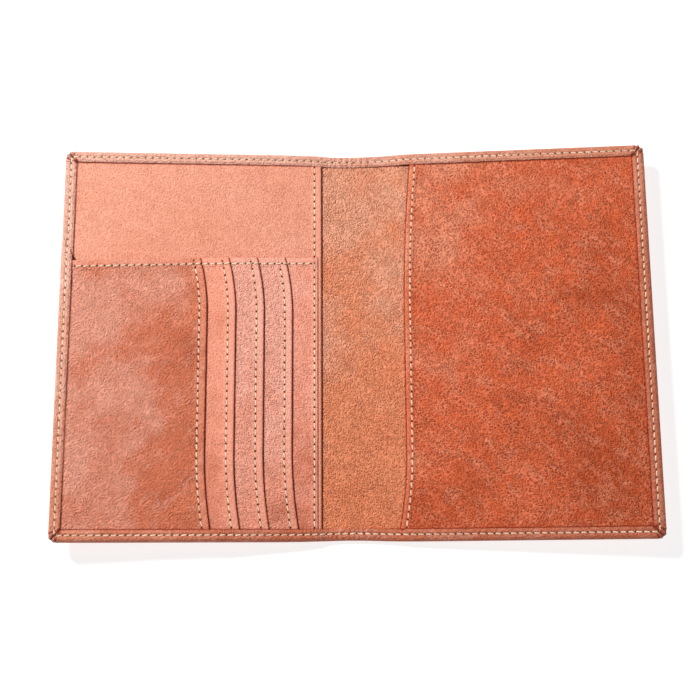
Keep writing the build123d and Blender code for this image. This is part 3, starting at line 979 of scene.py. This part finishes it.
def principled(name, roughness=0.5, specular=0.5, sheen=0.0):
    """A new material with its plain shader values set."""
    material = bpy.data.materials.new(name)
    material.use_nodes = True
    shader = material.node_tree.nodes["Principled BSDF"]
    shader.inputs["Roughness"].default_value = roughness
    shader.inputs["Specular IOR Level"].default_value = specular
    shader.inputs["Sheen Weight"].default_value = sheen
    return material, material.node_tree, shader


def dress(shader, colour, height, distance, strength):
    """Give a shader its colour and the relief of a height."""
    tree = shader.id_data
    relief = {"Height": height, "Distance": distance, "Strength": strength}
    relief = node(tree, "ShaderNodeBump", relief).outputs[0]
    tree.links.new(colour, shader.inputs["Base Color"])
    tree.links.new(relief, shader.inputs["Normal"])


def leather(name, pale, full, deep, shift, shade_slope=(0, 0), turn=40, level=0.3, mottle=0.8,
            streaks=0.3, crackle=0.3, pits=0.3, depth=0.2, hole=0.38):
    """Leather of one hide: three shades of its dye, where it darkens, partly as a slope of painted
    shade, and how deep its grain is.
    """
    material, tree, shader = principled(name, specular=0.25)
    values = {
        "Pale": (*pale, 1), "Full": (*full, 1), "Deep": (*deep, 1), "Shift": (*shift, 0),
        "Slope": (*shade_slope, 0), "Turn": math.radians(turn), "Level": level, "Mottle": mottle,
        "Streaks": streaks, "Crackle": crackle, "Pits": pits,
    }
    skin = node(tree, "ShaderNodeGroup", values, node_tree=SKIN).outputs
    surface = {"Color": skin["Color"], "Height": skin["Height"], "Radius": hole}
    needle = node(tree, "ShaderNodeGroup", surface, node_tree=NEEDLE).outputs
    tree.links.new(skin["Roughness"], shader.inputs["Roughness"])
    dress(shader, needle["Color"], needle["Height"], depth * MM, 1.0)
    return material


def thread_material():
    """Cream thread: fibres wound slantwise, a little darker between them."""
    material, tree, shader = principled("cream_thread", roughness=0.75, specular=0.25, sheen=0.15)
    pattern = node(tree, "ShaderNodeUVMap", uv_map="Cut").outputs[0]
    along, around, _ = split(pattern)
    wound = plus(times(along, 160.0), times(around, 200.0))
    fibre = plus(times(maths("SINE", times(wound, 6.283)), 0.5), 0.5)
    place = node(tree, "ShaderNodeTexCoord").outputs["Object"]
    soil = noise_at(place, 90.0, 3.0)
    colour = mixed(ranged(soil, 0.35, 0.7), (0.93, 0.70, 0.51, 1), (0.76, 0.47, 0.31, 1))
    colour = mixed(times(fibre, 0.35), colour, (0.45, 0.25, 0.14, 1))
    dress(shader, colour, fibre, 0.05 * MM, 0.8)
    return material


def plain_weave(name, light, dark, per_mm):
    """Woven lining cloth or pressed board: two crossed waves of its threads."""
    material, tree, shader = principled(name, roughness=0.85, specular=0.2)
    place = node(tree, "ShaderNodeTexCoord").outputs["Object"]
    turns = per_mm / MM * math.pi
    over, across = (maths("SINE", times(part, turns)) for part in split(place)[:2])
    weave = ranged(times(over, across), -1.0, 1.0)
    fluff = noise_at(place, 400.0, 4.0)
    share = plus(times(weave, 0.6), times(fluff, 0.4))
    dress(shader, mixed(share, (*dark, 1), (*light, 1)), share, 0.05 * MM, 0.6)
    return material


# The left cover's slip, card and strip hides are paler and pinker partly by their own dye and
# partly by a painted sheen, for the glossy reflection over the left cover.
SLIP_HIDE_AND_SHEEN = ((0.91, 0.375, 0.25), (0.86, 0.32, 0.20), (0.68, 0.20, 0.105))
CARD_HIDE_AND_SHEEN = ((0.94, 0.39, 0.27), (0.79, 0.205, 0.098), (0.53, 0.105, 0.036))
STRIP_HIDE_AND_SHEEN = ((1.0, 0.45, 0.335), (0.95, 0.345, 0.225), (0.62, 0.15, 0.07))
TAN_HIDE = ((1.0, 0.44, 0.275), (1.0, 0.315, 0.148), (0.84, 0.20, 0.072))
CLAY_HIDE = ((1.0, 0.34, 0.19), (0.89, 0.163, 0.056), (0.64, 0.100, 0.026))
RIM_HIDE = ((0.95, 0.50, 0.38), (0.78, 0.28, 0.16), (0.58, 0.14, 0.06))

# Each hide's slope is painted shade: the piece darkens along it, towards the bottom and, for some,
# the right.
MATERIALS = {
    "slip": leather("slip_leather", *SLIP_HIDE_AND_SHEEN, (0, 0), shade_slope=(0.002, -0.004), level=0.05,
                    mottle=0.4, streaks=0.15, crackle=0.1, pits=0.22, depth=0.24),
    "card_front": leather("card_leather_front", *CARD_HIDE_AND_SHEEN, (40, 15), shade_slope=(0.024, -0.004),
                          level=1.75, turn=-45, mottle=0.75, streaks=0.5, crackle=0.15, pits=0.32,
                          depth=0.50),
    "card_2": leather("card_leather_2", *STRIP_HIDE_AND_SHEEN, (140, 75), shade_slope=(0, -0.006), level=0.30,
                      mottle=0.5, crackle=0.1, pits=0.15, depth=0.24),
    "card_3": leather("card_leather_3", *STRIP_HIDE_AND_SHEEN, (240, 35), shade_slope=(0, -0.014), level=-0.6,
                      mottle=0.7, pits=0.22, depth=0.38),
    "card_4": leather("card_leather_4", *STRIP_HIDE_AND_SHEEN, (340, 95), shade_slope=(0, -0.010), level=-0.45,
                      mottle=0.8, pits=0.22, depth=0.38),
    "backing": leather("card_leather_backing", *STRIP_HIDE_AND_SHEEN, (430, 15), shade_slope=(0, -0.012), level=0.1,
                       mottle=0.7, pits=0.2, depth=0.28),
    "lining": leather("lining_leather", *TAN_HIDE, (55, 190), shade_slope=(0, -0.007), level=0.0, turn=60,
                      mottle=0.6, streaks=0.1, crackle=0.15, pits=0.45, depth=0.54),
    "passport": leather("passport_leather", *CLAY_HIDE, (500, 300), shade_slope=(0.009, -0.006),
                        level=-0.10, turn=40, mottle=0.7, streaks=0.5, crackle=0.35, pits=0.65,
                        depth=0.50),
    "outer": leather("outer_leather", *RIM_HIDE, (700, 500), shade_slope=(0.007, -0.011), level=0.55,
                     mottle=0.4, streaks=0.2, crackle=0.2, pits=0.35, depth=0.34, hole=0.26),
    "thread": thread_material(),
    "fabric": plain_weave("pocket_fabric", (0.16, 0.09, 0.06), (0.07, 0.04, 0.03), 3.0),
    "board": plain_weave("stiffener_board", (0.34, 0.24, 0.16), (0.24, 0.16, 0.10), 1.2),
}


# --- the wallet

BODY = {-1: "left_cover", 1: "right_cover"}
SIDE_NAME = {-1: "left", 1: "right"}


def finish_piece(piece, material, nodes):
    """Give a piece its material, and hide the CAD nodes that it stands for."""
    piece.data.materials.append(MATERIALS[material])
    if nodes:
        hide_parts(*nodes)
    return piece


def thread_piece(piece, body, nodes):
    """Finish a line of stitches that rides on a cover."""
    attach(finish_piece(piece, "thread", nodes), body)


def stood_for(word, side):
    """CAD nodes that half a sheet stands for: its cover's, and for the left half the spine's."""
    return [f"{word}_{SIDE_NAME[side]}"] + ([f"{word}_spine"] if side < 0 else [])


def across_crease(piece):
    """Bake a piece's transform into its mesh, leaving it attached to neither cover."""
    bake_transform(piece)


def panel_piece(key, material, node_name):
    panel = PANELS[key]
    piece = panel.make(VISIBLE.get(key, 16))
    finish_piece(piece, material, [node_name])
    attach(piece, BODY[panel.side])
    return piece


for side, seen in ((-1, 18.0), (1, 28.0)):
    word = SIDE_NAME[side]
    lining = lining_half(f"lining_half_{word}", side, seen)
    finish_piece(lining, "lining", stood_for("lining", side))
    across_crease(lining)

panel_piece("slip_panel", "slip", "slip_pocket_panel")
panel_piece("card_backing", "backing", "card_slot_backing")
for slot in reversed(SLOTS[1:]):
    panel_piece(f"card_slot_{slot}", f"card_{slot}", CARD_NODES[slot])
    cloth = fabric_sheet(slot)
    finish_piece(cloth, "fabric", [f"card_pocket_fabric_{slot}"])
    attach(cloth, "left_cover")
panel_piece("card_front", "card_front", CARD_NODES[1])
panel_piece("passport_panel", "passport", "passport_pocket_panel")

for side in (-1, 1):
    word = SIDE_NAME[side]
    cover = cover_half(f"outer_half_{word}", side)
    finish_piece(cover, "outer", stood_for("outer_cover", side))
    across_crease(cover)
    for name, nodes in (("rim_thread", stood_for("rim_stitching", side)),
                        ("rim_thread_outside", [])):
        line = rim_stitches(f"{name}_{word}", side, below=not nodes)
        finish_piece(line, "thread", nodes)
        across_crease(line)

RIM_Y = HALF_H - RIM_W
slip, backing = PANELS["slip_panel"], PANELS["card_backing"]
seam_x = SLIP_EDGE - SLIP_SEAM
lower = edge_stitches("slip_edge_thread", backing, -RIM_Y, CARD_TOP_Y - 0.2, BACKING_EDGE - seam_x)
thread_piece(lower, "left_cover", ["slip_edge_stitching"])
upper = edge_stitches("slip_edge_thread_upper", slip, CARD_TOP_Y - 0.2, RIM_Y, SLIP_SEAM)
thread_piece(upper, "left_cover", [])
for slot in SLOTS:
    panel = PANELS["card_front" if slot == 1 else f"card_slot_{slot}"]
    end = card_top(SLOT_EDGES[slot]) - TOP_SEAM - 0.3
    line = edge_stitches(f"card_edge_thread_{slot}", panel, -RIM_Y, end, CARD_SEAM)
    thread_piece(line, "left_cover", [f"card_edge_stitching_{slot}"])
x = np.arange(-COVER_W + RIM_W, seam_x - 0.4, 0.3)
line = stitches("card_top_thread", (x, card_top(x) - TOP_SEAM), top_surface, x / PITCH)
thread_piece(line, "left_cover", ["card_top_stitching"])
line = edge_stitches("passport_edge_thread", PANELS["passport_panel"], -RIM_Y, RIM_Y, PASSPORT_SEAM)
thread_piece(line, "right_cover", ["passport_edge_stitching"])

for name in ("stiffener_left", "stiffener_right", "stiffener_spine"):
    frame["nodes"][name].material_slots[0].material = MATERIALS["board"]

# --- floor, light and camera

scene = bpy.context.scene
scene.view_settings.view_transform = "Standard"

floor_mesh = bpy.data.meshes.new("floor")
reach, drop = 3.0, -0.0002
floor_mesh.from_pydata(
    [(-reach, -reach, drop), (reach, -reach, drop), (reach, reach, drop), (-reach, reach, drop)],
    [], [(0, 1, 2, 3)],
)
floor = bpy.data.objects.new("floor", floor_mesh)
scene.collection.objects.link(floor)
floor_paint, _, floor_shader = principled("pale_floor", roughness=0.9, specular=0.1)
floor_shader.inputs["Base Color"].default_value = (0.5, 0.5, 0.5, 1)
floor_shader.inputs["Emission Color"].default_value = (1, 1, 1, 1)
floor_shader.inputs["Emission Strength"].default_value = 0.75
floor_mesh.materials.append(floor_paint)


def area_light(name, place, size, power):
    """Square light that faces the wallet's centre."""
    lamp = bpy.data.lights.new(name, "AREA")
    lamp.size, lamp.energy = size, power
    light = bpy.data.objects.new(name, lamp)
    light.location = place
    light.rotation_euler = (-light.location).to_track_quat("-Z", "Y").to_euler()
    scene.collection.objects.link(light)


area_light("key", (-0.42, 0.36, 0.62), 0.12, 8.1)
area_light("fill", (0.35, -0.45, 0.70), 0.9, 1.1)

world = bpy.data.worlds.new("studio")
scene.world = world
world.use_nodes = True
backdrop = world.node_tree.nodes["Background"]
backdrop.inputs["Color"].default_value = (1, 1, 1, 1)
seen = node(world.node_tree, "ShaderNodeLightPath").outputs["Is Camera Ray"]
strength = ranged(seen, 0.0, 1.0, 0.18, 0.95)
world.node_tree.links.new(strength, backdrop.inputs["Strength"])

camera_data = bpy.data.cameras.new("camera")
camera_data.sensor_width = 36.0
camera_data.lens = 61.7
camera = bpy.data.objects.new("camera", camera_data)
camera.location = (0.00375, -0.09622, 0.43119)
camera.rotation_euler = [math.radians(angle) for angle in (12.26, 0.84, -0.355)]
scene.collection.objects.link(camera)
scene.camera = camera
